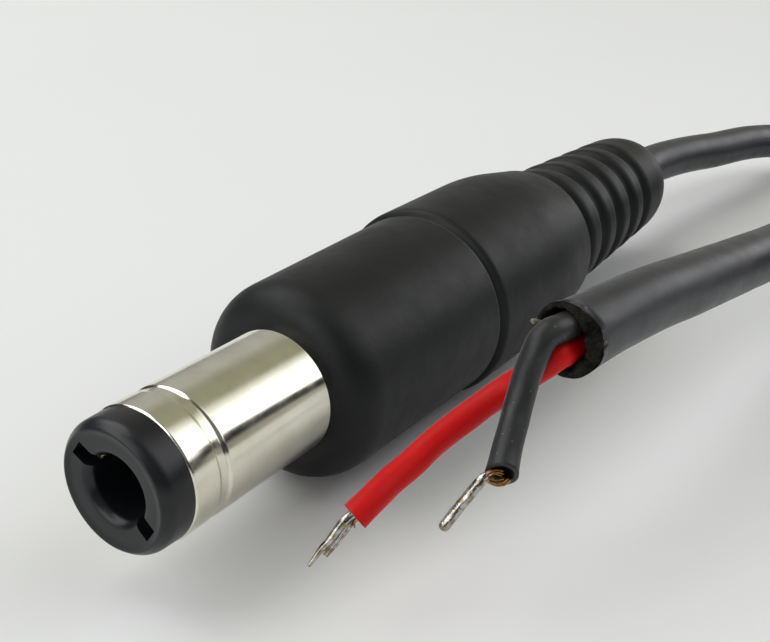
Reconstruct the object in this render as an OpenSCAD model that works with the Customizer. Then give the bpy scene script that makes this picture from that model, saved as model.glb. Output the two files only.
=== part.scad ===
// Moulded barrel power plug on a short two-core lead.
// The plug lies on its grip along X, with its tip towards -X and the surface at z = 0.
// The lead leaves the strain relief, is wound into a small tied coil, and comes back beside
// the plug to its stripped end, where one red and one black core stand out of the jacket.

/* [Barrel] */
// Outside diameter of the metal sleeve
sleeve_d = 5.5; // [4.8:0.1:6.5]
// Wall of the metal sleeve
sleeve_wall = 0.35; // [0.25:0.05:0.5]
// Length from the tip's face to the front of the grip
barrel_len = 9.3; // [7.5:0.1:12]
// Length of the bare insulating collar at the tip
collar_len = 1.4; // [1:0.1:2]
// Diameter of the collar at its front edge
rim_d = 5; // [4.2:0.1:5.2]
// Diameter of the centre socket
socket_d = 2.6; // [2:0.1:2.8]
// Depth of the centre socket
socket_depth = 9.2; // [8:0.1:9.6]
// Depth of the funnel at the socket's mouth
funnel_depth = 0.7; // [0.3:0.1:1]
// Width of the two contact slots beside the socket
slot_w = 0.7; // [0.5:0.05:0.9]
// Turn of the contact slots about the plug's axis
slot_turn = 37; // [0:1:180]
// Distance from the tip to the retaining groove in the sleeve
groove_at = 2.2; // [2:0.1:3]
// Width of the retaining groove
groove_w = 0.9; // [0.6:0.1:1.2]
// Depth of the retaining groove
groove_depth = 0.12; // [0.05:0.01:0.15]

/* [Grip] */
// Length of the whole plug
plug_len = 48; // [44:1:56]
// Diameter of the front grip behind its rounded edge
grip_front_d = 8.9; // [8.6:0.1:11]
// Diameter of the front grip at the step
grip_back_d = 9.2; // [8.8:0.1:11.4]
// Diameter of the raised band behind the step
band_d = 9.7; // [9.4:0.1:12]
// Distance from the tip to the step
step_at = 20.4; // [18:0.1:22]
// Distance from the tip to the back of the raised band
band_end = 28.1; // [26:0.1:30]

/* [Strain relief] */
// Distance from the tip to the foot of the shoulder
shoulder_end = 32.1; // [30:0.1:33]
// Diameter of the strain relief at the shoulder
relief_front_d = 7.6; // [6.4:0.1:8]
// Diameter of the strain relief before its rounded end
relief_back_d = 6.6; // [5.6:0.1:7.4]
// Number of flexing grooves
groove_count = 5; // [3:1:5]
// Distance from one flexing groove to the next
groove_pitch = 2.4; // [2.2:0.1:2.6]
// Width of a flexing groove
flex_w = 1.1; // [0.8:0.1:1.3]
// Depth of a flexing groove
flex_depth = 0.6; // [0.3:0.05:0.8]

/* [Lead] */
// Diameter of the cable jacket
cable_d = 2.7; // [2.4:0.1:3]
// Diameter of one insulated core
core_d = 1.05; // [0.9:0.05:1.15]
// Diameter of one bundle of strands
strand_d = 0.6; // [0.4:0.05:0.7]
// Diameter of the coil at the middle of its turns
coil_d = 28; // [26:1:32]
// Turns in the coil
coil_turns = 2.5; // [1.5:1:3.5]
// Thickness of the band that ties the coil
tie_t = 0.3; // [0.2:0.1:0.5]
// Width of the band that ties the coil
tie_w = 4; // [2:0.5:6]

/* [Hidden] */
$fn = 96;
eps = 0.01;
axis_z = band_d / 2;
tip_x = -24;
sleeve_r = sleeve_d / 2;
tube_r = sleeve_r - sleeve_wall;
rim_r = rim_d / 2;
collar_r = sleeve_r - 0.05;
socket_r = socket_d / 2;
slot_r = socket_r + 0.65;
base_r = socket_r - 0.2;
tine_t = 0.3;
tine_w = slot_w - 0.1;
tine_front = funnel_depth + 0.2;

// Hidden ends of the pieces inside the grip, as distances from the tip
flange_at = barrel_len + 0.6;
flange_t = 0.8;
flange_r = sleeve_r + 0.85;
neck_at = flange_at + flange_t;
neck_r = sleeve_r - 0.2;
neck_end = neck_at + 1.3;
washer_t = 0.8;
tag_t = 0.4;
tag_z = neck_r + 0.3;
core_at = neck_end + 5;
jacket_at = core_at + 1;
mould_end = jacket_at + 0.5;
mould_r = flange_r;
tail_end = core_at - 1;
tail_t = 0.4;
core_gap = core_d / 2 + 0.02;
strand_r = strand_d / 2;
bead_r = 0.75;

// The coil lies on the tie's lower run
coil_x = 40;
coil_y = -24;
coil_pitch = cable_d + 0.1;
coil_h = cable_d + coil_turns * coil_pitch;
cable_r = cable_d / 2;
coil_r = coil_d / 2;
// How far before the coil's tangent point a straight run's end meets the turns
coil_touch = sqrt(pow(coil_r + cable_r, 2) - pow(coil_r - cable_r, 2));

// Route of the lead from the strain relief to the coil
out_route = [
    [tip_x + plug_len, 0, axis_z],
    [tip_x + plug_len + 4, 0, axis_z],
    [33, -0.5, 4.5],
    [38, -1.4, 4.0],
    [43, -2.3, 3.6],
    [47, -3.3, 3.1],
    [50.4, -5.3, 2.6],
    [52.6, -8.2, 2.1],
    [53.7, -11.6, 1.75],
    [coil_x + coil_r, coil_y + coil_touch, tie_t + cable_r],
];

// Route of the lead from the coil to its stripped end
return_route = [
    [24.7, -19.0, tie_t + coil_h - cable_r],
    [22.7, -16.9, 7.65],
    [20.2, -15.55, 7.05],
    [17.0, -14.75, 6.6],
    [13.0, -14.1, 6.4],
    [8.6, -13.6, 6.75],
    [4.1, -13.3, 7.4],
    [0.0, -13.1, 8.05],
    [-3.5, -12.9, 8.6],
    [-6.2, -12.6, 8.95],
    [-9.0, -12.3, 9.2],
    [-12.7, -11.8, 9.4]
];

// Routes of the two cores and their bared strands, from the jacket's end
black_route = [
    [-12.66, -11.8, 9.93],
    [-13.1, -11.75, 9.96],
    [-13.55, -11.6, 9.95],
    [-13.95, -11.45, 9.7],
    [-14.2, -11.35, 9.25],
    [-14.4, -11.25, 8.75],
    [-14.7, -11.2, 8.1],
    [-15.15, -11.25, 7.5],
    [-15.7, -11.35, 6.95],
    [-16.25, -11.45, 6.4],
    [-16.85, -11.6, 5.85],
];
red_route = [
    [-12.74, -11.8, 8.87],
    [-13.1, -11.75, 8.9],
    [-13.35, -11.45, 8.6],
    [-13.5, -11.0, 8.2],
    [-13.8, -10.2, 7.5],
    [-14.3, -9.65, 7.0],
    [-14.85, -9.2, 6.55],
    [-15.55, -8.8, 6.15],
    [-16.35, -8.45, 5.75],
    [-17.25, -8.2, 5.35],
    [-18.2, -7.95, 5.05],
    [-19.15, -7.8, 4.75],
    [-19.95, -7.6, 4.4],
];
black_strand_route = [
    [-16.85, -11.6, 5.85],
    [-17.3, -11.45, 5.7],
    [-17.8, -11.2, 5.5],
    [-18.5, -10.9, 5.1],
    [-19.15, -10.65, 4.7],
];
red_strand_route = [
    [-19.95, -7.6, 4.55],
    [-20.5, -7.35, 4.25],
    [-20.95, -7.2, 3.8],
    [-21.8, -6.9, 3.25],
];
red_stray_route = [
    [-19.95, -7.6, 4.2],
    [-20.4, -7.5, 3.85],
    [-21.15, -7.2, 3.35],
];

// Stands a shape that is drawn along Z on the plug's axis, with z = 0 at the tip's face
module on_axis() {
    translate([tip_x, 0, axis_z])
        rotate([0, 90, 0])
            children();
}

// A round bar on the plug's axis between two distances from the tip
module bar(r, from, to) {
    on_axis()
        translate([0, 0, from])
            cylinder(r = r, h = to - from);
}

// A flat strip along the plug: its middle is at height z from the axis
module strip(width, thickness, z, from, to) {
    translate([tip_x + from, -width / 2, axis_z + z - thickness / 2])
        cube([to - from, width, thickness]);
}

// A bar along the plug at height z from the axis
module side_bar(r, z, from, to) {
    translate([tip_x + from, 0, axis_z + z])
        rotate([0, 90, 0])
            cylinder(r = r, h = to - from, $fn = 48);
}

// Points of a quarter of an ellipse from angle a to angle b, about the point [r, s]
function quarter(r, s, rr, ss, a, b, n = 10) =
    [for (i = [0:n]) let (t = a + (b - a) * i / n) [r + rr * cos(t), s + ss * sin(t)]];

function unit(v) = v / norm(v);

// Direction of a route at its point i
function heading(p, i) = unit(p[min(i + 1, len(p) - 1)] - p[max(i - 1, 0)]);

// One ring of a swept tube, square to the heading
function ring(c, d, r, n) =
    let (u = unit(cross(d, [0.02, 0.05, 1])), v = cross(d, u))
        [for (k = [0:n - 1]) c + r * (cos(360 * k / n) * u + sin(360 * k / n) * v)];

// A closed tube with flat ends along a route; its first and last rings may be smaller
module tube(p, r, first_r = undef, last_r = undef, n = 8) {
    m = len(p);
    start_r = is_undef(first_r) ? r : first_r;
    end_r = is_undef(last_r) ? r : last_r;
    points = [for (i = [0:m - 1])
        each ring(p[i], heading(p, i), i == 0 ? start_r : i == m - 1 ? end_r : r, n)];
    sides = [for (i = [0:m - 2], k = [0:n - 1], half = [0, 1])
        let (a = i * n + k, b = i * n + (k + 1) % n)
            half == 0 ? [a, b, b + n] : [a, b + n, a + n]];
    first_cap = [[for (k = [n - 1:-1:0]) k]];
    last_cap = [[for (k = [0:n - 1]) (m - 1) * n + k]];
    polyhedron(points = points, faces = concat(sides, first_cap, last_cap), convexity = 6);
}

// Collar, inner tube and the two slots for the fork contact, moulded in one piece
module tip_insulator() {
    color([0.07, 0.07, 0.08])
        difference() {
            on_axis()
                rotate_extrude()
                    polygon(concat(
                        [[0, 0], [rim_r - 0.3, 0]],
                        quarter(rim_r - 0.3, 0.3, 0.3, 0.3, -90, 0, 4),
                        [[rim_r + 0.05, 0.6], [collar_r, collar_len], [tube_r, collar_len],
                        [tube_r, neck_end], [0, neck_end]]));
            socket_hollow();
            contact_slots();
        }
}

// The centre socket with its funnel mouth
module socket_hollow() {
    on_axis()
        rotate_extrude()
            polygon([[0, -1], [rim_r - 0.45, -1], [rim_r - 0.45, 0], [socket_r, funnel_depth],
                [socket_r, socket_depth], [base_r, socket_depth], [base_r, neck_end + 1],
                [0, neck_end + 1]]);
}

// Two slots beside the socket, right through the insulator
module contact_slots() {
    translate([tip_x, 0, axis_z])
        rotate([slot_turn, 0, 0])
            translate([-1, -slot_r, -slot_w / 2])
                cube([neck_end + 2, 2 * slot_r, slot_w]);
}

// Metal sleeve: rolled front edge, retaining groove, and a neck with a flange in the grip
module outer_sleeve() {
    color([0.78, 0.77, 0.72])
        on_axis()
            rotate_extrude()
                polygon([
                    [tube_r, collar_len], [sleeve_r - 0.12, collar_len],
                    [sleeve_r, collar_len + 0.15], [sleeve_r, groove_at],
                    [sleeve_r - groove_depth, groove_at + 0.12],
                    [sleeve_r - groove_depth - 0.03, groove_at + groove_w - 0.15],
                    [sleeve_r, groove_at + groove_w + 0.15],
                    [sleeve_r, barrel_len], [neck_r, barrel_len],
                    [neck_r, flange_at], [flange_r, flange_at], [flange_r, neck_at],
                    [neck_r, neck_at], [neck_r, neck_end], [tube_r, neck_end]]);
}

// Fork contact: a base that closes the socket, two tines in the slots and a solder tail
module fork_contact() {
    color([0.75, 0.7, 0.52]) {
        bar(base_r, socket_depth, neck_end);
        for (side = [0, 180])
            translate([tip_x, 0, axis_z])
                rotate([slot_turn + side, 0, 0])
                    fork_tine();
        strip(2 * socket_r * 0.6, tail_t, 0, neck_end - eps, tail_end);
    }
}

// One tine, flush with the socket's wall, with a rounded nose
module fork_tine() {
    translate([tine_front, socket_r, -tine_w / 2])
        cube([neck_end - tine_front, tine_t, tine_w]);
    translate([tine_front, socket_r + tine_t / 2, -tine_w / 2])
        cylinder(d = tine_t, h = tine_w, $fn = 32);
    translate([socket_depth, 0, -tine_w / 2])
        cube([neck_end - socket_depth, socket_r + tine_t, tine_w]);
}

// Washer behind the insulator, pierced by the contact's tail
module insulating_washer() {
    color([0.9, 0.88, 0.8])
        difference() {
            bar(neck_r, neck_end, neck_end + washer_t);
            fork_contact();
        }
}

// Ring round the sleeve's neck with a tongue that the black core is soldered to
module sleeve_tag() {
    color([0.75, 0.73, 0.66]) {
        difference() {
            bar(tag_z + 0.3, neck_at, neck_at + tag_t);
            bar(neck_r, neck_at - 1, neck_at + tag_t + 1);
        }
        strip(1.6, 0.3, -tag_z - 0.15, neck_at, tail_end);
    }
}

// Straight conductor of a core inside the plug; z is the core's height from the axis
module strand_root(z, from) {
    side_bar(strand_r, z, from, plug_len);
}

module red_strand_root() {
    color([0.75, 0.5, 0.3])
        strand_root(core_gap, tail_end - 1.8);
}

// The black core's conductor bends down to the sleeve's tag
module black_strand_root() {
    drop = tag_z - core_gap - strand_r - 0.05;
    bend = core_at - 0.6;
    color([0.75, 0.5, 0.3])
        union() {
            strand_root(-core_gap, bend);
            translate([tip_x + bend, 0, axis_z - core_gap]) {
                sphere(r = strand_r, $fn = 48);
                rotate([0, 225, 0])
                    cylinder(r = strand_r, h = drop * sqrt(2), $fn = 48);
            }
        }
}

// Solder on the contact's tail
module solder_bead_centre() {
    color([0.7, 0.7, 0.7])
        difference() {
            translate([tip_x + tail_end - 1.2, 0, axis_z + core_gap + 0.12])
                sphere(r = bead_r, $fn = 48);
            fork_contact();
            red_strand_root();
            black_strand_root();
        }
}

// Solder on the sleeve's tag
module solder_bead_sleeve() {
    color([0.7, 0.7, 0.7])
        difference() {
            translate([tip_x + tail_end - 1.4, 0, axis_z - tag_z + strand_r + 0.2])
                sphere(r = bead_r, $fn = 48);
            sleeve_tag();
            black_strand_root();
            fork_contact();
        }
}

// Insulation of one core inside the plug
module core_root(z) {
    difference() {
        side_bar(core_d / 2, z, core_at, plug_len);
        side_bar(strand_r, z, core_at - 1, plug_len + 1);
    }
}

module red_core_root() {
    color([0.78, 0.06, 0.05])
        core_root(core_gap);
}

module black_core_root() {
    color([0.06, 0.06, 0.06])
        core_root(-core_gap);
}

// Cable jacket inside the plug, with a bore for each core
module jacket_root() {
    color([0.12, 0.12, 0.13])
        difference() {
            bar(cable_r, jacket_at, plug_len);
            for (z = [-core_gap, core_gap])
                side_bar(core_d / 2, z, jacket_at - 1, plug_len + 1);
        }
}

// Hard inner moulding that holds the terminals, the solder and the cable's end
module inner_mould() {
    color([0.85, 0.85, 0.82])
        difference() {
            bar(mould_r, neck_at, mould_end);
            bar(neck_r, neck_at - 1, neck_end + washer_t);
            bar(cable_r, jacket_at, mould_end + 1);
            for (z = [-core_gap, core_gap])
                side_bar(core_d / 2, z, core_at, jacket_at + eps);
            fork_contact();
            sleeve_tag();
            red_strand_root();
            black_strand_root();
            solder_bead_centre();
            solder_bead_sleeve();
        }
}

// Half-profile of the grip: rounded nose, front grip, step, band, shoulder and relief
function grip_profile() = concat(
    [[0, barrel_len], [sleeve_r + 0.45, barrel_len]],
    quarter(sleeve_r + 0.45, barrel_len + 1.6, grip_front_d / 2 - sleeve_r - 0.45, 1.6, -90, 0),
    [[grip_back_d / 2, step_at - 0.3]],
    quarter(grip_back_d / 2 - 0.3, step_at - 0.3, 0.3, 0.3, 0, 90, 4),
    [[grip_back_d / 2 - 0.4, step_at + 0.25]],
    quarter(band_d / 2 - 0.15, step_at + 0.4, 0.15, 0.15, -90, 0, 3),
    quarter(band_d / 2 - 3, band_end - 0.8, 3, 3, 0, 26, 5),
    quarter(relief_front_d / 2 - 0.25, shoulder_end - 0.7, 0.65, 0.7, 20, 90, 6),
    [[relief_front_d / 2 - 0.25, shoulder_end]],
    quarter(cable_r + 0.4, plug_len - 3.4, relief_back_d / 2 - cable_r - 0.4, 3.4, 0, 90),
    [[0, plug_len]]);

// Ring-shaped grooves that let the strain relief bend
module flex_grooves() {
    taper = (relief_front_d - relief_back_d) / 2 / (plug_len - 3.4 - shoulder_end);
    for (i = [0:groove_count - 1]) {
        at = shoulder_end + 0.35 + i * groove_pitch;
        floor_r = relief_front_d / 2 - 0.25 - taper * (at - shoulder_end) - flex_depth;
        on_axis()
            rotate_extrude()
                polygon([[floor_r, at + 0.2], [floor_r, at + flex_w - 0.2],
                    [floor_r + flex_depth + 0.5, at + flex_w + 0.05],
                    [floor_r + flex_depth + 0.5, at - 0.05]]);
    }
}

// Soft outer moulding: grip and strain relief in one piece
module moulded_grip() {
    color([0.11, 0.11, 0.12])
        difference() {
            on_axis()
                rotate_extrude()
                    polygon(grip_profile());
            flex_grooves();
            bar(neck_r, barrel_len - 1, flange_at + eps);
            bar(mould_r, flange_at, mould_end);
            bar(cable_r, mould_end - eps, plug_len + 1);
        }
}

module cable_out() {
    color([0.12, 0.12, 0.13])
        tube(out_route, cable_r);
}

module cable_return() {
    color([0.12, 0.12, 0.13])
        tube(return_route, cable_r);
}

// Outline of the coil's section, grown by g: straight sides with round ends
module coil_section(g) {
    for (z = [cable_r, coil_h - cable_r])
        translate([coil_r, z])
            circle(r = cable_r + g, $fn = 48);
    translate([coil_r - cable_r - g, cable_r])
        square([cable_d + 2 * g, coil_h - cable_d]);
}

// The wound turns as one plain ring
module cable_coil() {
    color([0.12, 0.12, 0.13])
        translate([coil_x, coil_y, tie_t])
            rotate_extrude()
                coil_section(0);
}

// Band round the turns, on the side of the coil away from the plug
module coil_tie() {
    sweep = 2 * asin(tie_w / coil_d);
    color([0.1, 0.1, 0.1])
        translate([coil_x, coil_y, tie_t])
            rotate([0, 0, -90 - sweep / 2])
                rotate_extrude(angle = sweep)
                    difference() {
                        coil_section(tie_t);
                        coil_section(0);
                    }
}

module red_core() {
    color([0.78, 0.06, 0.05])
        tube(red_route, core_d / 2);
}

module black_core() {
    color([0.06, 0.06, 0.06])
        tube(black_route, core_d / 2);
}

module red_strands() {
    color([0.7, 0.68, 0.62])
        tube(red_strand_route, 0.17, last_r = 0.1);
}

module red_stray_strands() {
    color([0.7, 0.68, 0.62])
        tube(red_stray_route, 0.13, last_r = 0.08);
}

module black_strands() {
    color([0.7, 0.68, 0.62])
        tube(black_strand_route, 0.21, last_r = 0.14);
}

tip_insulator();
outer_sleeve();
fork_contact();
insulating_washer();
sleeve_tag();
inner_mould();
moulded_grip();
solder_bead_centre();
solder_bead_sleeve();
jacket_root();
red_core_root();
black_core_root();
red_strand_root();
black_strand_root();
cable_out();
cable_coil();
coil_tie();
cable_return();
red_core();
black_core();
red_strands();
red_stray_strands();
black_strands();
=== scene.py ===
"""Looks of the moulded barrel plug, its coiled lead and the stripped cores. Everything is in metres."""

import math

import bmesh
import bpy
from mathutils import Matrix, Vector, noise


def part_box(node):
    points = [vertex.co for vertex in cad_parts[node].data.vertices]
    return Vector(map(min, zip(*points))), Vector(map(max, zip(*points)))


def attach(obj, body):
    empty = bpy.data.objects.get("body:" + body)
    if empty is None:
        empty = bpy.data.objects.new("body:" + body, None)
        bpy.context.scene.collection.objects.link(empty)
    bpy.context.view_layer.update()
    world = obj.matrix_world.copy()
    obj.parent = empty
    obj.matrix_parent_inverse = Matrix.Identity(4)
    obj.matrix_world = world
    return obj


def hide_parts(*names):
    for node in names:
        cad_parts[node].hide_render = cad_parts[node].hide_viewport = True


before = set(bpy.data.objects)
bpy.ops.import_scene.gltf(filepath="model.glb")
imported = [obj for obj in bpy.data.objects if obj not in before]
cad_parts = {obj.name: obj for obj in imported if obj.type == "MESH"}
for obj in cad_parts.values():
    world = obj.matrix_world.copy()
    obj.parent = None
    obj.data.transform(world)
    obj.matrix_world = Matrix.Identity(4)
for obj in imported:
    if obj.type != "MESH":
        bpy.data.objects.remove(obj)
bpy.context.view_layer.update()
scene = bpy.context.scene
MM = 0.001


# ---------------------------------------------------------------- places taken from the frame

TIP_LOW, TIP_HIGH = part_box("tip_insulator")
GRIP_LOW, GRIP_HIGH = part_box("moulded_grip")

TIP_X = TIP_LOW.x
AXIS_Z = GRIP_HIGH.z / 2
COLLAR_R = TIP_HIGH.y
SLEEVE_R = COLLAR_R + 0.05 * MM
NECK_R = SLEEVE_R - 0.2 * MM
BARREL_LEN = GRIP_LOW.x - TIP_X
PLUG_LEN = GRIP_HIGH.x - TIP_X
BAND_R = GRIP_HIGH.y

# Sizes of the tip, as distances from its face and radii
COLLAR_LEN = 1.4 * MM
TIP_LEN = BARREL_LEN + 2.7 * MM
TIP_STEM_R = SLEEVE_R - 0.36 * MM
RIM_R = 2.5 * MM
DISH_DEPTH = 0.14 * MM
SOCKET_R = 1.3 * MM
SOCKET_DEPTH = 9.2 * MM
SOCKET_FLOOR_R = 0.2 * MM
SLOT_W = 0.7 * MM
SLOT_R = SOCKET_R + 0.8 * MM
SLOT_TURN = math.radians(37)

# Sizes of the sleeve, with its groove in front and its flange and tail inside the grip
SLEEVE_IN_R = SLEEVE_R - 0.35 * MM
GROOVE_AT = 2.65 * MM
GROOVE_W = 0.65 * MM
GROOVE_DEPTH = 0.08 * MM
FLANGE_AT = BARREL_LEN + 0.6 * MM
FLANGE_T = 0.8 * MM
FLANGE_R = SLEEVE_R + 0.85 * MM
TAIL_LEN = 2.1 * MM
TAIL_R = SLEEVE_R - 0.15 * MM

# Sizes of the grip and the strain relief, which fits round the others with a small gap
FIT = 0.02 * MM
GRIP_ROUND = 1.6 * MM
GRIP_FRONT_R = 4.45 * MM
GRIP_BACK_R = 4.6 * MM
STEP_AT = 20.4 * MM
BAND_END = 28.1 * MM
SHOULDER_END = 32.1 * MM
RELIEF_FRONT_R = 3.8 * MM
RELIEF_BACK_R = 3.3 * MM
NOSE_LEN = 3.4 * MM
FLEX_COUNT = 5
FLEX_PITCH = 2.4 * MM
FLEX_W = 1.1 * MM
FLEX_DEPTH = 0.42 * MM
FLEX_LIP_ROUND = 0.45 * MM
FLEX_FLOOR_ROUND = 0.3 * MM

# Sizes of the lead, its coil and the coil's strap
CABLE_R = 1.35 * MM
CORE_R = 0.525 * MM
COIL_R = 14 * MM
COIL_TURNS = 2.5
COIL_PITCH = 2.8 * MM
COIL_CENTRE = Vector((40, -24, 0)) * MM
TIE_T = 0.3 * MM
TIE_W = 4 * MM

# Routes of the lead, the same points as the part's, in millimetres
OUT_ROUTE = [
    (24, 0, 4.85), (28, 0, 4.85), (33, -0.5, 4.5), (38, -1.4, 4.0), (43, -2.3, 3.6),
    (47, -3.3, 3.1), (50.4, -5.3, 2.6), (52.6, -8.2, 2.1), (53.7, -11.6, 1.75),
    (54, -15.31, 1.65),
]
RETURN_ROUTE = [
    (26, -24, 8.65), (25.65, -21.4, 8.6), (24.45, -18.8, 8.25), (22.7, -16.9, 7.65),
    (20.2, -15.55, 7.05), (17, -14.75, 6.6), (13, -14.1, 6.4), (8.6, -13.6, 6.75),
    (4.1, -13.3, 7.4), (0, -13.1, 8.05), (-3.5, -12.9, 8.6), (-6.2, -12.6, 8.95),
    (-9.0, -12.3, 9.2), (-12.7, -11.8, 9.34),
]
BLACK_ROUTE = [
    (-10.3, -12.1, 9.75), (-11.6, -11.95, 9.84), (-12.66, -11.8, 9.93), (-13.1, -11.75, 9.96),
    (-13.55, -11.6, 9.95), (-13.95, -11.45, 9.7), (-14.2, -11.35, 9.25),
    (-14.4, -11.25, 8.75), (-14.7, -11.2, 8.1), (-15.15, -11.25, 7.5),
    (-15.7, -11.35, 6.95), (-16.25, -11.45, 6.4), (-16.85, -11.6, 5.85),
]
RED_ROUTE = [
    (-10.3, -12.1, 8.75), (-11.6, -11.95, 8.82), (-12.74, -11.8, 8.87), (-13.1, -11.75, 8.9),
    (-13.35, -11.45, 8.6), (-13.5, -11.0, 8.2), (-13.8, -10.2, 7.5), (-14.3, -9.65, 7.0),
    (-14.85, -9.2, 6.55), (-15.55, -8.8, 6.15), (-16.35, -8.45, 5.75),
    (-17.25, -8.2, 5.35), (-18.2, -7.95, 5.05), (-19.15, -7.8, 4.75), (-19.95, -7.6, 4.4),
]

# Lines of the bared strands, in millimetres, from inside the insulation to their ends
BLACK_ROD = [
    (-17.23, -11.24, 5.87), (-17.35, -11.14, 5.77), (-17.52, -11.02, 5.55), (-17.76, -10.84, 5.19),
    (-18.0, -10.64, 4.83), (-18.28, -10.46, 4.44), (-18.6, -10.24, 4.03),
]
BLACK_COPPER_LOW = [
    (-16.45, -11.61, 5.6), (-16.8, -11.79, 5.66), (-17.05, -11.71, 5.63), (-17.2, -11.54, 5.66),
    (-17.28, -11.35, 5.74), (-17.32, -11.14, 5.77),
]
BLACK_COPPER_HIGH = [
    (-16.49, -11.47, 5.7), (-16.87, -11.62, 5.88), (-17.0, -11.51, 5.99), (-17.15, -11.37, 5.98),
    (-17.26, -11.24, 5.9), (-17.34, -11.12, 5.8),
]
RED_ROD = [
    (-19.74, -7.53, 4.43), (-20.18, -7.4, 4.35), (-20.38, -7.27, 4.11), (-20.66, -7.1, 3.73),
    (-20.95, -6.89, 3.37), (-21.4, -6.6, 2.76),
]
RED_STRAY = [
    (-19.74, -7.53, 4.26), (-20.1, -7.47, 4.14), (-20.32, -7.35, 3.86), (-20.59, -7.19, 3.51),
    (-20.92, -6.99, 3.1),
]
RED_COPPER = [
    [(-19.72, -7.56, 4.26), (-20.06, -7.59, 4.21), (-20.13, -7.61, 4.03)],
    [(-19.7, -7.52, 4.42), (-20.06, -7.45, 4.36), (-20.22, -7.38, 4.22)],
]
BURR = [
    (-12.86, -10.86, 9.92), (-13.0, -10.78, 9.98), (-13.12, -10.72, 10.02), (-13.22, -10.68, 10.04),
]


# ---------------------------------------------------------------- camera

EYE = Vector((-46.36, -26.18, 25.59)) * MM
AZIMUTH = math.radians(-56.71)
ELEVATION = math.radians(23.235)
LENS_MM = 51.43
SENSOR_MM = 36


def add_object(name, data):
    """An object in the scene, at the origin."""
    obj = bpy.data.objects.new(name, data)
    scene.collection.objects.link(obj)
    return obj


def look_along(obj, back):
    """Turns a camera or light so that it looks away from the direction back."""
    obj.rotation_mode = "QUATERNION"
    obj.rotation_quaternion = back.to_track_quat("Z", "Y")


def make_camera():
    """The eye is low in front of the tip and looks along the plug from its stripped-lead side."""
    cam = add_object("camera", bpy.data.cameras.new("camera"))
    cam.data.sensor_width = SENSOR_MM
    cam.data.lens = LENS_MM
    cam.data.clip_start = 0.001
    cam.data.clip_end = 20
    cam.location = EYE
    level = math.cos(ELEVATION)
    look_along(cam, Vector((math.sin(AZIMUTH) * level, -math.cos(AZIMUTH) * level, math.sin(ELEVATION))))
    scene.camera = cam


make_camera()


# ---------------------------------------------------------------- mesh helpers

def spline(route, step):
    """A smooth line, in metres, through a route in millimetres, with points about step apart."""
    p = [Vector(x) * MM for x in route]
    p = [2 * p[0] - p[1]] + p + [2 * p[-1] - p[-2]]
    out = []
    for a, b, c, d in zip(p, p[1:], p[2:], p[3:]):
        n = max(2, round((c - b).length / step))
        knots = [0.0]
        for u, v in ((a, b), (b, c), (c, d)):
            knots.append(knots[-1] + math.sqrt((v - u).length))
        for k in range(n):
            t = knots[1] + (knots[2] - knots[1]) * k / n
            out.append(centripetal(a, b, c, d, knots, t))
    out.append(p[-2].copy())
    return out


def centripetal(a, b, c, d, k, t):
    """The point at t of the centripetal Catmull-Rom curve between b and c, with knots k."""
    def mix(u, v, lo, hi):
        return u * ((hi - t) / (hi - lo)) + v * ((t - lo) / (hi - lo))
    ab, bc, cd = mix(a, b, k[0], k[1]), mix(b, c, k[1], k[2]), mix(c, d, k[2], k[3])
    return mix(mix(ab, bc, k[0], k[2]), mix(bc, cd, k[1], k[3]), k[1], k[2])


def stations(path):
    """(distance, point, side, up, heading) at each point of a path, turned as little as possible."""
    out = []
    side = None
    distance = 0.0
    for i, p in enumerate(path):
        before, after = path[max(i - 1, 0)], path[min(i + 1, len(path) - 1)]
        distance += (p - before).length
        heading = (after - before).normalized()
        if side is None:
            side = heading.cross(Vector((0, 0, 1))).normalized()
        side = (side - heading * side.dot(heading)).normalized()
        out.append((distance, p, side, side.cross(heading), heading))
    return out


def turns(count):
    """Angles of count points that are evenly spaced round a circle."""
    return [math.tau * k / count for k in range(count)]


def spokes(side, up, count):
    """Directions outwards from a path, evenly spaced round it."""
    return [side * math.cos(t) + up * math.sin(t) for t in turns(count)]


def mesh_object(name, verts, faces):
    """A mesh object from its points and faces."""
    mesh = bpy.data.meshes.new(name)
    mesh.from_pydata(verts, [], faces)
    mesh.update()
    return add_object(name, mesh)


def shade_smooth(mesh):
    """Smooth shading on every face."""
    mesh.polygons.foreach_set("use_smooth", [True] * len(mesh.polygons))


def mesh_from_rings(name, rings, wrap=False):
    """A smooth closed mesh whose rings, all of one size, are joined in turn. With wrap the last ring
    joins the first one, and otherwise both ends are capped."""
    n, count = len(rings[0]), len(rings)
    verts = [v for ring in rings for v in ring]
    faces = []
    for i in range(count if wrap else count - 1):
        here, there = i * n, (i + 1) % count * n
        for k in range(n):
            j = (k + 1) % n
            faces.append((here + k, here + j, there + j, there + k))
    if not wrap:
        faces.append(tuple(reversed(range(n))))
        faces.append(tuple(range((count - 1) * n, count * n)))
    obj = mesh_object(name, verts, faces)
    bm = bmesh.new()
    bm.from_mesh(obj.data)
    bmesh.ops.recalc_face_normals(bm, faces=bm.faces)
    bm.to_mesh(obj.data)
    bm.free()
    shade_smooth(obj.data)
    return obj


def join(name, objects):
    """One smooth mesh object in place of several."""
    bm = bmesh.new()
    for o in objects:
        bm.from_mesh(o.data)
        bpy.data.objects.remove(o)
    mesh = bpy.data.meshes.new(name)
    bm.to_mesh(mesh)
    bm.free()
    shade_smooth(mesh)
    return add_object(name, mesh)


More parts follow.
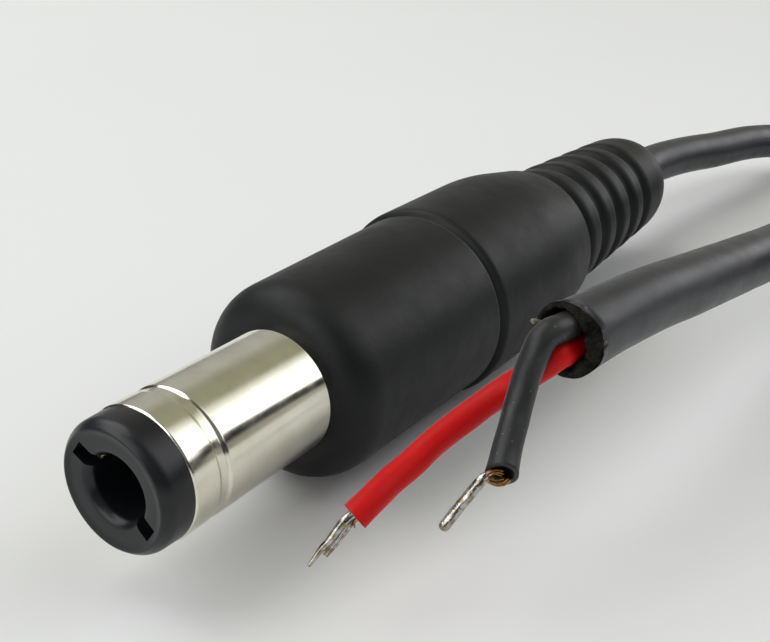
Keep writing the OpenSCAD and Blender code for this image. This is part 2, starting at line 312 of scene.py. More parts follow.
def rounded(corners, steps=6):
    """A polyline whose corners (s, r, fillet) are rounded by their fillets."""
    out = []
    for i, (s, r, fillet) in enumerate(corners):
        here = Vector((s, r))
        if fillet <= 0 or i in (0, len(corners) - 1):
            out.append(here)
            continue
        before = Vector(corners[i - 1][:2]) - here
        after = Vector(corners[i + 1][:2]) - here
        reach = min(fillet, before.length * 0.49, after.length * 0.49)
        a, b = here + before.normalized() * reach, here + after.normalized() * reach
        for k in range(steps + 1):
            t = k / steps
            out.append(a * (1 - t) ** 2 + here * 2 * t * (1 - t) + b * t * t)
    return out


def lathe(name, corners, sides):
    """A closed round piece on the plug's axis, from a half-profile of (distance from the tip, radius,
    fillet) corners."""
    rings = [[Vector((TIP_X + s, r * math.cos(t), AXIS_Z + r * math.sin(t))) for t in turns(sides)]
             for s, r in rounded(corners)]
    return mesh_from_rings(name, rings, wrap=True)


def box(name, low, high):
    """A closed box between two corners."""
    x0, y0, z0 = low
    x1, y1, z1 = high
    verts = [(x0, y0, z0), (x1, y0, z0), (x1, y1, z0), (x0, y1, z0),
             (x0, y0, z1), (x1, y0, z1), (x1, y1, z1), (x0, y1, z1)]
    faces = [(0, 3, 2, 1), (4, 5, 6, 7), (0, 1, 5, 4), (1, 2, 6, 5), (2, 3, 7, 6), (3, 0, 4, 7)]
    return mesh_object(name, verts, faces)


def cut(obj, cutter):
    """Takes one closed mesh out of another and drops the cutter."""
    mod = obj.modifiers.new("cut", "BOOLEAN")
    mod.operation = "DIFFERENCE"
    mod.solver = "EXACT"
    mod.object = cutter
    graph = bpy.context.evaluated_depsgraph_get()
    mesh = bpy.data.meshes.new_from_object(obj.evaluated_get(graph))
    obj.modifiers.clear()
    obj.data = mesh
    bpy.data.objects.remove(cutter)


def finish_piece(obj, material, slot, *nodes, mirrored=True):
    """Gives a piece its material, hangs it from the root body and hides the CAD nodes that it stands for;
    slot is not used. A piece that isn't mirrored doesn't show in reflections."""
    obj.data.materials.clear()
    obj.data.materials.append(material)
    obj.visible_glossy = mirrored
    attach(obj, "root")
    if nodes:
        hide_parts(*nodes)
    return obj


# ---------------------------------------------------------------- node helpers

class Nodes:
    """A node tree, built by short calls. A value that goes into a node is a number, a tuple or
    another node's output."""

    def __init__(self, tree):
        self.tree = tree

    def find(self, kind):
        """The tree's node of one type."""
        return next(n for n in self.tree.nodes if n.type == kind)

    def add(self, kind, **settings):
        """A new shader node with its settings."""
        node = self.tree.nodes.new("ShaderNode" + kind)
        for name, value in settings.items():
            setattr(node, name, value)
        return node

    def feed(self, socket, value):
        """Links an output to a socket, or sets the socket to a number or tuple."""
        if isinstance(value, bpy.types.NodeSocket):
            self.tree.links.new(value, socket)
        elif socket.type == "RGBA":
            socket.default_value = (*value, 1)
        else:
            socket.default_value = value

    def ramp(self, value, *stops):
        """Maps a value through (position, level) stops; a level is a number or a colour."""
        node = self.add("ValToRGB")
        elements = node.color_ramp.elements
        while len(elements) < len(stops):
            elements.new(0.5)
        for element, (position, level) in zip(elements, stops):
            element.position = position
            element.color = (*level, 1) if isinstance(level, tuple) else (level, level, level, 1)
        self.feed(node.inputs["Fac"], value)
        return node.outputs["Color"]

    def mix(self, factor, a, b):
        """From colour a to colour b as the factor goes from 0 to 1."""
        node = self.add("Mix", data_type="RGBA")
        for socket, value in ((0, factor), (6, a), (7, b)):
            self.feed(node.inputs[socket], value)
        return node.outputs[2]

    def math(self, operation, a, b):
        """One sum on two numbers."""
        node = self.add("Math", operation=operation)
        self.feed(node.inputs[0], a)
        self.feed(node.inputs[1], b)
        return node.outputs[0]


class Material(Nodes):
    """A material that is worked out from the place on the object, in millimetres."""

    def __init__(self, name):
        self.material = bpy.data.materials.new(name)
        self.material.use_nodes = True
        super().__init__(self.material.node_tree)
        self.shader = self.find("BSDF_PRINCIPLED")
        self.place = self.scaled(self.add("TexCoord").outputs["Object"], (1 / MM, 1 / MM, 1 / MM))

    def scaled(self, place, scale):
        """A place with each of its coordinates scaled."""
        node = self.add("Mapping")
        self.feed(node.inputs["Scale"], scale)
        self.feed(node.inputs["Vector"], place)
        return node.outputs["Vector"]

    def noise(self, scale, detail=3.0, rough=0.55, place=None):
        """Soft patches, about 1/scale millimetres wide."""
        node = self.add("TexNoise")
        self.feed(node.inputs["Scale"], scale)
        self.feed(node.inputs["Detail"], detail)
        self.feed(node.inputs["Roughness"], rough)
        self.feed(node.inputs["Vector"], place or self.place)
        return node.outputs["Fac"]

    def patches(self, pattern, start, end, low, high):
        """From level or colour low to high as a pattern goes from start to end."""
        if isinstance(low, tuple):
            return self.mix(self.ramp(pattern, (start, 0.0), (end, 1.0)), low, high)
        return self.ramp(pattern, (start, low), (end, high))

    def dust(self, scale, size, colour):
        """Lays small pale specks over the colour."""
        node = self.add("TexVoronoi")
        self.feed(node.inputs["Scale"], scale)
        self.feed(node.inputs["Vector"], self.place)
        specks = self.ramp(node.outputs["Distance"], (0.0, 1.0), (size, 0.0))
        under = self.shader.inputs["Base Color"].links[0].from_socket
        return self.set(Base_Color=self.mix(specks, under, colour))

    def bump(self, height, depth_mm):
        """Relief of a depth in millimetres, added to what is there."""
        node = self.add("Bump")
        self.feed(node.inputs["Strength"], 1.0)
        self.feed(node.inputs["Distance"], depth_mm * MM)
        self.feed(node.inputs["Height"], height)
        normal = self.shader.inputs["Normal"]
        if normal.is_linked:
            self.feed(node.inputs["Normal"], normal.links[0].from_socket)
        self.feed(normal, node.outputs["Normal"])
        return self

    def set(self, **values):
        """Sets or links the shader's inputs, with _ for a space in their names."""
        for name, value in values.items():
            self.feed(self.shader.inputs[name.replace("_", " ")], value)
        return self


# ---------------------------------------------------------------- materials

def vinyl(name, dark, light, rough, grain, depth, gloss=0.5):
    """Soft moulded plastic: mottled colour, a fine grain of a scale and depth, and uneven gloss."""
    m = Material(name)
    m.set(Base_Color=m.patches(m.noise(0.35, 4), 0.35, 0.7, dark, light))
    return satin(m, rough, grain, depth, gloss)


def satin(m, rough, grain, depth, gloss):
    """The finish of vinyl, whatever its colour."""
    m.set(Roughness=m.patches(m.noise(0.8, 5), 0.3, 0.7, *rough), Specular_IOR_Level=gloss)
    return m.bump(m.noise(grain, 3, 0.6), depth)


def grip_material():
    """Dull black over-moulding with a fine grain and faint dents."""
    m = vinyl("grip vinyl", (0.0055, 0.0062, 0.0068), (0.009, 0.0098, 0.0106), (0.42, 0.52),
              grain=14.0, depth=0.006, gloss=0.25)
    return m.bump(m.noise(1.4, 3), 0.02).material


def tip_material():
    """Smoother black plastic with a little dust."""
    m = vinyl("tip plastic", (0.0055, 0.0062, 0.008), (0.009, 0.010, 0.0125), (0.27, 0.37),
              grain=9.0, depth=0.004, gloss=0.38)
    return m.dust(5.0, 0.05, (0.06, 0.06, 0.055)).material


def jacket_material():
    """The cable's dark grey skin, slightly wavy."""
    m = vinyl("cable jacket", (0.018, 0.019, 0.0235), (0.025, 0.026, 0.0315), (0.36, 0.48),
              grain=6.0, depth=0.006)
    return m.bump(m.noise(0.9, 2), 0.015).material


def cut_edge_and_hollow_shade_material():
    """The jacket's cut edge and the hollow inside it: dull, brownish and rough, with pale crumbs, mottled
    with near-black patches that are painted shade of the hollow.
    """
    m = Material("jacket cut and hollow shade")
    # Mottled from near-black to brownish: the brownish is the cut plastic's own colour, and the near-black
    # is painted shade of the hollow.
    m.set(Base_Color=m.patches(m.noise(1.8, 4, 0.6), 0.42, 0.66, (0.0016, 0.0014, 0.0012),
                               (0.022, 0.020, 0.014)))
    satin(m, (0.6, 0.8), grain=5.0, depth=0.03, gloss=0.12)
    m.bump(m.noise(2.6, 4, 0.7), 0.2)
    return m.dust(3.6, 0.2, (0.05, 0.045, 0.032)).material


def core_material(name, dark, light, gloss):
    """A core's insulation, with a slightly uneven skin."""
    m = vinyl(name, dark, light, (0.38, 0.54), grain=7.0, depth=0.008, gloss=gloss)
    return m.bump(m.noise(2.2, 3), 0.02)


def red_material():
    """The red core's clean, dull insulation."""
    return core_material("red insulation", (0.50, 0.006, 0.006), (0.60, 0.009, 0.008), 0.14).material


def black_material():
    """The black core's glossier insulation, with pale dust."""
    m = core_material("black insulation", (0.010, 0.0105, 0.0115), (0.017, 0.018, 0.019), 0.45)
    return m.dust(3.6, 0.14, (0.17, 0.17, 0.165)).material


def moulded_material(name, colour):
    """Plain natural plastic."""
    return vinyl(name, tuple(c * 0.9 for c in colour), colour, (0.4, 0.55), grain=5.0, depth=0.01).material


def strap_material():
    """The coil's strap, matt and grained."""
    return vinyl("tie strap", (0.012, 0.012, 0.013), (0.02, 0.02, 0.021), (0.45, 0.6),
                 grain=8.0, depth=0.02).material


def nickel_material():
    """Bright plate with turning marks round the sleeve and a few stains."""
    m = Material("nickel plate")
    m.set(Base_Color=m.patches(m.noise(0.9, 5), 0.4, 0.75, (0.78, 0.76, 0.65), (0.70, 0.67, 0.55)),
          Roughness=m.patches(m.noise(1.6, 5, 0.6), 0.3, 0.75, 0.1, 0.2), Metallic=1.0)
    return m.bump(m.noise(9.0, 4, 0.7, m.scaled(m.place, (3.0, 0.12, 0.12))), 0.0012).material


def metal_material(name, first, second, rough, spread=2.0, depth=0.01):
    """Wire, solder or contact metal with patches of two colours."""
    m = Material(name)
    m.set(Base_Color=m.patches(m.noise(spread, 4), 0.38, 0.62, first, second),
          Roughness=m.patches(m.noise(5.0, 4), 0.3, 0.7, *rough), Metallic=1.0)
    m.bump(m.noise(6.0, 3), depth)
    return m.bump(m.noise(14.0, 2), 0.5 * depth).material


GRIP = grip_material()
TIP = tip_material()
JACKET = jacket_material()
CUT_EDGE_AND_HOLLOW_SHADE = cut_edge_and_hollow_shade_material()
RED = red_material()
BLACK = black_material()
STRAP = strap_material()
PALE = moulded_material("pale scrap", (0.20, 0.195, 0.15))
NATURAL = moulded_material("inner plastic", (0.75, 0.73, 0.66))
NICKEL = nickel_material()
BRASS = metal_material("contact metal", (0.72, 0.66, 0.48), (0.6, 0.54, 0.4), (0.2, 0.35))
SOLDER = metal_material("solder", (0.62, 0.62, 0.6), (0.52, 0.52, 0.5), (0.2, 0.35))
COPPER = metal_material("copper strands", (0.42, 0.21, 0.075), (0.24, 0.14, 0.06), (0.2, 0.34), spread=5.0)
TIN = metal_material("tinned strands", (0.46, 0.455, 0.46), (0.24, 0.205, 0.12), (0.07, 0.18),
                     spread=4.0, depth=0.015)


# ---------------------------------------------------------------- the lead's jacket

# A wobble is how far a surface stands out unevenly, and a pitch is how many patches it has in a metre
JACKET_SIDES = 64
JACKET_STEP = 0.8 * MM
JACKET_WOBBLE = 0.012 * MM
JACKET_PITCH = 900
FLARE_LEN = 0.9 * MM

# The cut mouth's rings from the jacket's skin inwards, in millimetres: how far each lies inside the
# skin, how far ahead of a clean cut, how ragged its edge is, and the raggedness of its radius from 0 to 1
LIP = (
    (0.02, -0.10, 0.05, 0.3), (0.07, -0.04, 0.06, 0.6), (0.16, 0.0, 0.10, 1.0),
    (0.25, 0.05, 0.12, 1.0), (0.33, 0.04, 0.14, 1.0), (0.40, -0.08, 0.12, 0.9),
    (0.47, -0.35, 0.08, 0.6), (0.52, -0.9, 0.04, 0.3), (0.53, -3.0, 0.0, 0.0),
)
LIP_WOBBLE = 0.05 * MM
LIP_BLEND = 0.8

# The wall is thicker by this share on its near side, and thinner on its far side
NEAR_SIDE, NEAR_THICKER = Vector((0, -1, 0)), 0.6
FAR_SIDE, FAR_THINNER = Vector((0, 0.8, 0.6)), 0.45

# How far the cut face leans back at its near skin, and how deep inside the skin it stops leaning
LEAN, LEAN_DEPTH = 0.35, 0.36


def coil_path(step):
    """The turns, wound clockwise and upwards from the point on the +X side where the lead comes in."""
    n = round(COIL_TURNS * math.tau * COIL_R / step)
    out = []
    for i in range(n + 1):
        turn = i / n * COIL_TURNS
        angle = -math.tau * turn
        height = TIE_T + CABLE_R + COIL_PITCH * turn
        out.append(COIL_CENTRE + Vector((COIL_R * math.cos(angle), COIL_R * math.sin(angle), height)))
    return out


def straight(a, b, step):
    """Points between a and b, without both ends."""
    n = max(1, round((b - a).length / step))
    return [a.lerp(b, i / n) for i in range(1, n)]


def lead_path():
    """The whole lead from the strain relief to the stripped end."""
    coil = coil_path(JACKET_STEP)
    out = spline(OUT_ROUTE, JACKET_STEP)
    back = spline(RETURN_ROUTE, JACKET_STEP)
    return out + straight(out[-1], coil[0], JACKET_STEP) + coil + back[1:]


def ragged(direction, pitch, seed):
    """An unevenness round the cut mouth, from about -1 to 1."""
    return 2 * noise.noise(direction * pitch + Vector((seed, 0, 0)))


def mouth_flare(out):
    """How far the skin stands out at the cut, in one direction."""
    return (0.09 + 0.05 * ragged(out, 1.3, 4.0)) * MM


def skin_rings(along):
    """The jacket's outside, slightly uneven and flared at the cut."""
    rings = []
    for distance, p, side, up, _ in along:
        near_end = math.exp((distance - along[-1][0]) / FLARE_LEN)
        ring = []
        for out in spokes(side, up, JACKET_SIDES):
            wobble = JACKET_WOBBLE * noise.noise(p * JACKET_PITCH + out * 1.5)
            ring.append(p + out * (CABLE_R + mouth_flare(out) * near_end + wobble))
        rings.append(ring)
    return rings


def mouth_rings(p, side, up, heading):
    """The cut face, ragged in large and small waves, and the hollow inside it."""
    rings = []
    for inward, ahead, rough, share in LIP:
        ring = []
        for out in spokes(side, up, JACKET_SIDES):
            near = max(0.0, out.dot(NEAR_SIDE))
            far = max(0.0, out.dot(FAR_SIDE))
            wall = inward * (1 + NEAR_THICKER * near - FAR_THINNER * far) * MM
            wobble = LIP_WOBBLE * share * ragged(out, 3.5, 9.0 + inward)
            lean = LEAN * near * max(0.0, 1 - inward / LEAN_DEPTH)
            waves = rough * (ragged(out, 2.6, 1.0) + 0.5 * ragged(out, 8.0, 2.0 + inward))
            ring.append(p + out * (CABLE_R + mouth_flare(out) - wall + wobble)
                        + heading * (ahead - lean + waves) * MM)
        rings.append(ring)
    return rings


def make_jacket():
    """The jacket from the strain relief to its ragged, open end, and the path that it follows."""
    path = lead_path()
    along = stations(path)
    skin = skin_rings(along)
    mouth = mouth_rings(*along[-1][1:])
    skin[-1] = [a.lerp(b, LIP_BLEND) for a, b in zip(skin[-1], mouth[0])]
    jacket = mesh_from_rings("lead_jacket", skin + mouth)
    finish_piece(jacket, JACKET, "cable_jacket", "cable_out", "cable_coil", "cable_return")
    # The cut face and the hollow inside it get the cut-edge material, whose near-black patches are painted
    # shade.
    jacket.data.materials.append(CUT_EDGE_AND_HOLLOW_SHADE)
    for face in jacket.data.polygons:
        if min(face.vertices) >= len(skin) * JACKET_SIDES:
            face.material_index = 1
    return jacket, path


jacket, jacket_path = make_jacket()


# ---------------------------------------------------------------- the cores

CORE_SIDES = 40
CORE_STEP = 0.1 * MM
CORE_FLARE_LEN = 0.5 * MM
SLANT_LEN = 1.0 * MM
CORE_WOBBLE = 0.012 * MM
CORE_LIP_WOBBLE = 0.02 * MM
CORE_PITCH = 1500

# The open end's rings, in millimetres: how far each lies ahead of the cut and inside the skin
CORE_LIP = ((0.03, 0.03), (0.03, 0.13), (0.0, 0.19), (-0.1, 0.22), (-0.45, 0.24))

# The side that the slanted ends turn towards, or away from where their angle is negative
CUT_SIDE = Vector((-0.768, -0.504, 0.395))


def core_ring(station, r, ahead, slope, wobble):
    """One ring round a core, which leans back on the slope's side, as steeply as the slope is long."""
    _, p, side, up, heading = station
    ring = []
    for out in spokes(side, up, CORE_SIDES):
        grow = wobble * noise.noise(p * CORE_PITCH + out)
        ring.append(p + out * (r + grow) + heading * (ahead - slope.dot(out) * r))
    return ring


def make_core(name, route, material, slot, node, flare, angle, mirrored=True):
    """One insulated core with an open end, flared and cut at an angle in degrees."""
    along = stations(spline(route, CORE_STEP))
    total, _, _, _, heading = along[-1]
    across = (CUT_SIDE - heading * CUT_SIDE.dot(heading)).normalized()
    slope = across * math.tan(math.radians(angle))
    rings = []
    for station in along:
        left = total - station[0]
        r = CORE_R + flare * math.exp(-left / CORE_FLARE_LEN)
        rings.append(core_ring(station, r, 0, slope * max(0.0, 1 - left / SLANT_LEN), CORE_WOBBLE))
    for ahead, inward in CORE_LIP:
        r = CORE_R + flare - inward * MM
        rings.append(core_ring(along[-1], r, ahead * MM, slope, CORE_LIP_WOBBLE))
    return finish_piece(mesh_from_rings(name, rings), material, slot, node, mirrored=mirrored)


red_core = make_core("core_red", RED_ROUTE, RED, "red_insulation", "red_core",
                     flare=0.02 * MM, angle=-17, mirrored=False)
black_core = make_core("core_black", BLACK_ROUTE, BLACK, "black_insulation", "black_core",
                       flare=0.07 * MM, angle=19)


# ---------------------------------------------------------------- the bared strands

STRAND_STEP = 0.04 * MM

# Single wires: the share of their length that is full, how much the rest thins, and how they wander
WIRE_SIDES = 10
WIRE_FULL = 0.6
WIRE_THINNING = 0.55
WIRE_WANDER = 0.03 * MM
WIRE_PITCH = 2500

# Soldered rods: the strands in their skin, the depth between these as a share of the radius, and
# their twist in radians a metre
ROD_SIDES = 28
ROD_STRANDS = 7
ROD_RELIEF = 0.07
ROD_TWIST = 900
ROD_PITCH = 2200


def wire_rings(path, radius):
    """Rings of one round wire, which thins towards its end."""
    along = stations(path)
    rings = []
    for distance, p, side, up, _ in along:
        share = distance / along[-1][0]
        r = radius * (1 - WIRE_THINNING * max(0.0, share - WIRE_FULL) / (1 - WIRE_FULL))
        rings.append([p + out * r for out in spokes(side, up, WIRE_SIDES)])
    return rings


def twisted(name, route, count, lay_r, wire_r, twists, phase=0.0, width=(1.0, 1.0)):
    """Several wires laid round a route. width scales the bundle at its start and its end."""
    along = stations(spline(route, STRAND_STEP))
    wires = []
    for w in range(count):
        path = []
        for distance, p, side, up, _ in along:
            share = distance / along[-1][0]
            t = phase + math.tau * (w / count + twists * share)
            scale = width[0] + (width[1] - width[0]) * share
            wander = WIRE_WANDER * noise.noise(p * WIRE_PITCH + Vector((w * 3.1, 0, 0)))
            path.append(p + (side * math.cos(t) + up * math.sin(t)) * (lay_r * scale + wander))
        wires.append(mesh_from_rings(f"{name}_{w}", wire_rings(path, wire_r)))
    return join(name, wires)


def make_rod(name, route, radius, lumps):
    """Strands run together by solder: a rod with faint, winding strands in its skin and a round tip.
    radius is a function of the share of its length, and lumps is their height in radii."""
    along = stations(spline(route, STRAND_STEP))
    total = along[-1][0]
    rings = []
    for distance, p, side, up, _ in along[:-1]:
        full = radius(distance / total)
        r = full * math.sqrt(1 - max(0.0, 1 - (total - distance) / full) ** 2)
        ring = []
        for t, out in zip(turns(ROD_SIDES), spokes(side, up, ROD_SIDES)):
            strand = ROD_RELIEF * abs(math.sin(ROD_STRANDS / 2 * (t + ROD_TWIST * distance)))
            lump = lumps * noise.noise(p * ROD_PITCH + out * 0.6)
            ring.append(p + out * r * (1 - strand + lump))
        rings.append(ring)
    return mesh_from_rings(name, rings)


def make_black_strands():
    """A solder-dipped rod, and the copper that it starts from in two small bundles."""
    rod = make_rod("strands_black", BLACK_ROD, lambda s: (0.15 + 0.06 * min(1, s / 0.15)) * MM, lumps=0.08)
    finish_piece(rod, TIN, "tinned_strands", "black_strands")
    wires = [twisted("low", BLACK_COPPER_LOW, count=5, lay_r=0.09 * MM, wire_r=0.052 * MM, twists=0.4),
             twisted("high", BLACK_COPPER_HIGH, count=4, lay_r=0.07 * MM, wire_r=0.048 * MM, twists=0.35,
                     phase=1.0)]
    copper = finish_piece(join("strands_black_copper", wires), COPPER, "copper_strands")
    return rod, copper


def make_red_strands():
    """A solder-dipped rod, a bundle of loose wires beside it, and the copper at the root of both."""
    rod = make_rod("strands_red", RED_ROD, lambda s: (0.175 - 0.11 * s ** 2.5) * MM, lumps=0.12)
    finish_piece(rod, TIN, "tinned_strands", "red_strands")
    stray = twisted("strands_red_stray", RED_STRAY, count=5, lay_r=0.1 * MM, wire_r=0.066 * MM,
                    twists=0.1, phase=2.0, width=(1.05, 0.7))
    finish_piece(stray, TIN, "tinned_strands", "red_stray_strands")
    wires = [twisted("root", route, count=3, lay_r=0.07 * MM, wire_r=0.05 * MM, twists=0.2, phase=i * 1.3)
             for i, route in enumerate(RED_COPPER)]
    copper = finish_piece(join("strands_red_copper", wires), COPPER, "copper_strands")
    return rod, stray, copper


def make_burr():
    """A pale scrap of jacket left by the knife at the mouth's far edge."""
    burr = make_rod("mouth_burr", BURR, lambda s: (0.07 + 0.05 * s) * MM, lumps=0.5)
    return finish_piece(burr, PALE, "cable_jacket")


black_strands = make_black_strands()
red_strands = make_red_strands()
burr = make_burr()


# ---------------------------------------------------------------- the coil's strap

TIE_STEPS = 10
TIE_BEND_STEPS = 16
TIE_GAP = 0.03 * MM
TIE_EDGE_THINNING = 0.35


def tie_point(across, t, height, stand_off):
    """A point of the strap: across it from -1 to 1, at the angle t round the cable whose middle is at
    that height, and stand_off outside the cable."""
    angle = -math.pi / 2 + TIE_W / COIL_R * across / 2
    r = COIL_R + (CABLE_R + stand_off) * math.cos(t)
    return COIL_CENTRE + Vector((r * math.cos(angle), r * math.sin(angle),
                                 height + (CABLE_R + stand_off) * math.sin(t)))


def make_tie():
    """Strap round the turns on the coil's -Y side, which they reach after a quarter of a turn."""
    low = TIE_T + CABLE_R + COIL_PITCH / 4
    high = low + 2 * COIL_PITCH
    widths = [2 * i / TIE_STEPS - 1 for i in range(TIE_STEPS + 1)]
    rings = []
    for start, height in ((0.0, high), (math.pi, low)):
        for k in range(TIE_BEND_STEPS + 1):
            t = start + math.pi * k / TIE_BEND_STEPS
            outside = [tie_point(x, t, height, TIE_T * (1 - TIE_EDGE_THINNING * x ** 6)) for x in widths]
            inside = [tie_point(x, t, height, TIE_GAP) for x in reversed(widths)]
            rings.append(outside + inside)
    return finish_piece(mesh_from_rings("coil_strap", rings, wrap=True), STRAP, "tie_strap", "coil_tie")


tie = make_tie()


# ---------------------------------------------------------------- the barrel

def make_sleeve():
    """The plated tube with its rolled groove, from the collar to the flange."""
    r, floor_r = SLEEVE_R, SLEEVE_R - GROOVE_DEPTH
    corners = [
        (COLLAR_LEN + 0.3 * MM, SLEEVE_IN_R, 0), (COLLAR_LEN, SLEEVE_IN_R + 0.02 * MM, 0.02 * MM),
        (COLLAR_LEN, r - 0.06 * MM, 0.02 * MM), (COLLAR_LEN + 0.06 * MM, r, 0.03 * MM),
        (GROOVE_AT, r, 0.04 * MM), (GROOVE_AT + 0.14 * MM, floor_r, 0.05 * MM),
        (GROOVE_AT + GROOVE_W - 0.13 * MM, floor_r, 0.05 * MM), (GROOVE_AT + GROOVE_W, r, 0.05 * MM),
        (BARREL_LEN + FIT, r, 0.02 * MM), (BARREL_LEN + FIT, NECK_R, 0),
        (FLANGE_AT, NECK_R, 0), (FLANGE_AT, SLEEVE_IN_R, 0),
    ]
    finish_piece(lathe("barrel_sleeve", corners, 192), NICKEL, "plated_sleeve", "outer_sleeve")


def make_flange():
    """The sleeve's flange and tail, inside the grip."""
    tail_end = FLANGE_AT + TAIL_LEN
    corners = [
        (FLANGE_AT, SLEEVE_IN_R, 0), (FLANGE_AT, FLANGE_R, 0), (FLANGE_AT + FLANGE_T, FLANGE_R, 0),
        (FLANGE_AT + FLANGE_T, TAIL_R, 0), (tail_end, TAIL_R, 0), (tail_end, SLEEVE_IN_R, 0),
    ]
    finish_piece(lathe("barrel_flange", corners, 96), NICKEL, "plated_sleeve", mirrored=False)


def make_tip():
    """The tip insulator: a round rim, a shallow dish round the socket and two slots for the tines."""
    corners = [
        (TIP_LEN, SOCKET_FLOOR_R, 0), (SOCKET_DEPTH, SOCKET_FLOOR_R, 0), (SOCKET_DEPTH, SOCKET_R, 0),
        (DISH_DEPTH + 0.3 * MM, SOCKET_R - 0.02 * MM, 0.12 * MM),
        (DISH_DEPTH, SOCKET_R + 0.2 * MM, 0.16 * MM), (0.1 * MM, RIM_R - 0.36 * MM, 0.2 * MM),
        (0.0, RIM_R - 0.12 * MM, 0.1 * MM), (0.34 * MM, RIM_R + 0.18 * MM, 0.24 * MM),
        (COLLAR_LEN, COLLAR_R, 0.03 * MM), (COLLAR_LEN, TIP_STEM_R, 0), (TIP_LEN, TIP_STEM_R, 0),
    ]
    tip = lathe("barrel_tip", corners, 160)
    slot = box("slot", (-1 * MM, -SLOT_R, -SLOT_W / 2), (BARREL_LEN, SLOT_R, SLOT_W / 2))
    slot.data.transform(Matrix.Translation((TIP_X, 0, AXIS_Z)) @ Matrix.Rotation(SLOT_TURN, 4, "X"))
    cut(tip, slot)
    shade_smooth(tip.data)
    tip.data.set_sharp_from_angle(angle=math.radians(35))
    finish_piece(tip, TIP, "tip_plastic", "tip_insulator")


make_sleeve()
make_flange()
make_tip()


# ---------------------------------------------------------------- the grip and strain relief

def ellipse_corner(s0, r0, s1, r1, n):
    """Points of a quarter ellipse from (s0, r0) outwards to (s1, r1)."""
    quarter = [math.pi / 2 * k / n for k in range(n + 1)]
    return [(s1 - (s1 - s0) * math.cos(t), r0 + (r1 - r0) * math.sin(t), 0) for t in quarter]


def bore_corners():
    """The grip's bore, from the cable's exit forwards: the cable, the sleeve's neck and the sleeve."""
    cable_r = CABLE_R + FIT
    front = BARREL_LEN + 0.03 * MM
    return [(PLUG_LEN, cable_r, 0), (FLANGE_AT, cable_r, 0), (FLANGE_AT, NECK_R, 0),
            (front, NECK_R + FIT, 0), (front, SLEEVE_R, 0)]


def body_corners():
    """The front part, the step up to the band and the shoulder."""
    return [
        *ellipse_corner(BARREL_LEN, SLEEVE_R + 0.35 * MM, BARREL_LEN + GRIP_ROUND, GRIP_FRONT_R, 10),
        (STEP_AT, GRIP_BACK_R, 0.55 * MM), (STEP_AT + 0.22 * MM, GRIP_BACK_R - 0.18 * MM, 0.12 * MM),
        (STEP_AT + 0.4 * MM, BAND_R - 0.02 * MM, 0.35 * MM), (BAND_END, BAND_R, 1.2 * MM),
        (SHOULDER_END, RELIEF_FRONT_R + 0.35 * MM, 0.6 * MM),
        (SHOULDER_END + 0.05 * MM, RELIEF_FRONT_R - 0.25 * MM, 0.1 * MM),
    ]


def flex_corners(nose_at):
    """The strain relief's flexing grooves, which follow its taper."""
    taper = (RELIEF_FRONT_R - RELIEF_BACK_R) / (nose_at - SHOULDER_END)
    corners = []
    for i in range(FLEX_COUNT):
        at = SHOULDER_END + 0.2 * MM + i * FLEX_PITCH
        crest = RELIEF_FRONT_R - taper * (at - SHOULDER_END)
        floor = crest - FLEX_DEPTH
        if i:
            corners.append((at, crest, FLEX_LIP_ROUND))
        corners += [(at + 0.35 * MM, floor, FLEX_FLOOR_ROUND),
                    (at + FLEX_W - 0.25 * MM, floor, FLEX_FLOOR_ROUND),
                    (at + FLEX_W + 0.1 * MM, crest - 0.02 * MM, FLEX_LIP_ROUND)]
    return corners


def make_grip():
    """The over-moulding, turned from one profile."""
    nose_at = PLUG_LEN - NOSE_LEN
    nose = ellipse_corner(PLUG_LEN, CABLE_R + 0.3 * MM, nose_at, RELIEF_BACK_R, 14)
    corners = bore_corners() + body_corners() + flex_corners(nose_at) + nose[::-1]
    finish_piece(lathe("plug_grip", corners, 200), GRIP, "grip_vinyl", "moulded_grip", mirrored=False)


make_grip()


# ---------------------------------------------------------------- pieces kept from the CAD

def dress(names, material):
    """Gives inner CAD nodes a material and keeps them out of reflections. Their meshes stay as they are."""
    for name in names:
        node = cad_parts[name]
        node.data.materials.clear()
        node.data.materials.append(material)
        node.visible_glossy = False


dress(["fork_contact", "sleeve_tag"], BRASS)
dress(["insulating_washer", "inner_mould"], NATURAL)
dress(["solder_bead_centre", "solder_bead_sleeve"], SOLDER)
dress(["jacket_root"], JACKET)
dress(["red_core_root"], RED)
dress(["black_core_root"], BLACK)
dress(["red_strand_root", "black_strand_root"], COPPER)


# ---------------------------------------------------------------- floor and light

FLOOR_HALF = 3.0

# The room as long bands beside the plug: the angle from the -Y horizon up and over to the +Y one, as
# a share of half a turn, and the band's colour there
BANDS = (
    (0.0, (0.36, 0.35, 0.31)), (0.045, (0.32, 0.31, 0.27)), (0.07, (0.08, 0.08, 0.08)),
    (0.098, (0.06, 0.06, 0.06)), (0.108, (1.55, 1.55, 1.6)), (0.31, (1.35, 1.35, 1.38)),
    (0.44, (0.28, 0.28, 0.20)), (0.62, (0.26, 0.26, 0.20)), (0.74, (0.38, 0.38, 0.36)),
    (0.86, (0.36, 0.36, 0.34)), (1.0, (0.30, 0.30, 0.29)),
)
ROOM_STRENGTH = 1.3

# The room is bright on the side that the sleeve mirrors and dim on the others: the direction of that
# side, where along it the room starts and ends brightening, and the least and most brightness
BRIGHT_SIDE = (0.8, 0, 0.6)
BRIGHTENING = {"From Min": 0.3, "From Max": 0.62, "To Min": 0.1, "To Max": 1.0}
BACKDROP = (0.55, 0.55, 0.54)

# Soft square lights: direction from the plug, width, height and power
LIGHTS = {
    "ceiling": ((-0.2, 0.65, 1.0), 0.75, 0.75, 4.3),
    "window": ((-1.3, 0.35, 0.8), 0.8, 0.7, 4.0),
}
LIGHT_DISTANCE = 0.9


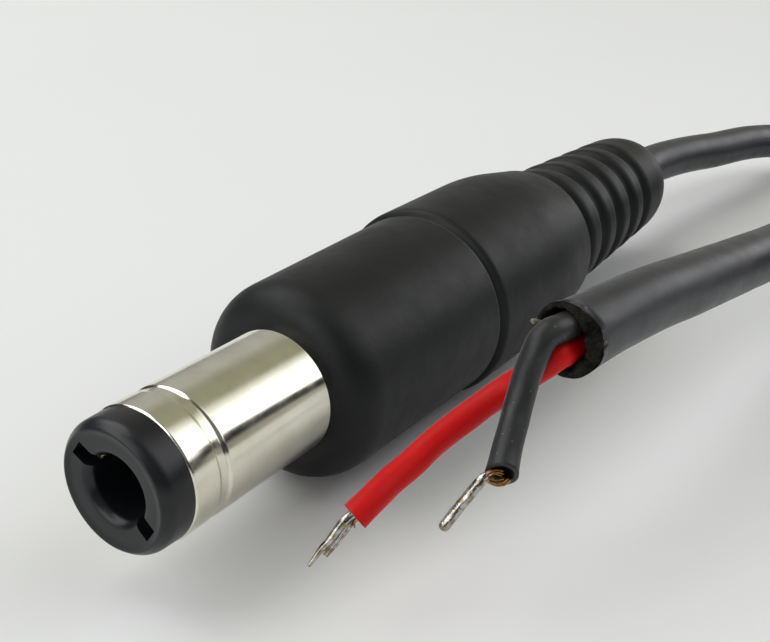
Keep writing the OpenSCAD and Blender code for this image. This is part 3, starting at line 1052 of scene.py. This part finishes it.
def make_floor():
    """A plain pale floor under the plug."""
    h = FLOOR_HALF
    floor = mesh_object("floor", [(-h, -h, 0), (h, -h, 0), (h, h, 0), (-h, h, 0)], [(0, 1, 2, 3)])
    m = Material("floor paper")
    m.set(Base_Color=m.mix(m.noise(0.02, 2), (0.79, 0.80, 0.80), (0.81, 0.82, 0.82)),
          Roughness=0.8, Specular_IOR_Level=0.2)
    floor.data.materials.append(m.material)


def make_world():
    """The banded room, which lights and is mirrored, and the plain backdrop that is seen instead."""
    scene.world = bpy.data.worlds.new("studio")
    scene.world.use_nodes = True
    n = Nodes(scene.world.node_tree)
    direction = n.add("TexCoord").outputs["Generated"]
    split = n.add("SeparateXYZ")
    n.feed(split.inputs[0], direction)
    angle = n.math("ARCTAN2", split.outputs["Z"], n.math("MULTIPLY", split.outputs["Y"], -1.0))
    bands = n.ramp(n.math("DIVIDE", angle, math.pi), *BANDS)
    facing = n.add("VectorMath", operation="DOT_PRODUCT")
    n.feed(facing.inputs[0], direction)
    n.feed(facing.inputs[1], BRIGHT_SIDE)
    brightness = n.add("MapRange")
    n.feed(brightness.inputs["Value"], facing.outputs["Value"])
    for name, value in BRIGHTENING.items():
        n.feed(brightness.inputs[name], value)
    room = n.add("VectorMath", operation="SCALE")
    n.feed(room.inputs[0], bands)
    n.feed(room.inputs["Scale"], brightness.outputs["Result"])
    seen = n.add("LightPath").outputs["Is Camera Ray"]
    background = n.find("BACKGROUND")
    n.feed(background.inputs["Color"], n.mix(seen, room.outputs[0], BACKDROP))
    n.feed(background.inputs["Strength"], ROOM_STRENGTH)


def make_light(name, direction, width, height, power):
    """A soft square light that faces the plug."""
    light = bpy.data.lights.new(name, "AREA")
    light.shape = "RECTANGLE"
    light.size, light.size_y = width, height
    light.energy = power
    obj = add_object(name, light)
    away = Vector(direction).normalized()
    obj.location = away * LIGHT_DISTANCE
    look_along(obj, away)


make_floor()
make_world()
for light_name, settings in LIGHTS.items():
    make_light(light_name, *settings)
scene.view_settings.view_transform = "Standard"
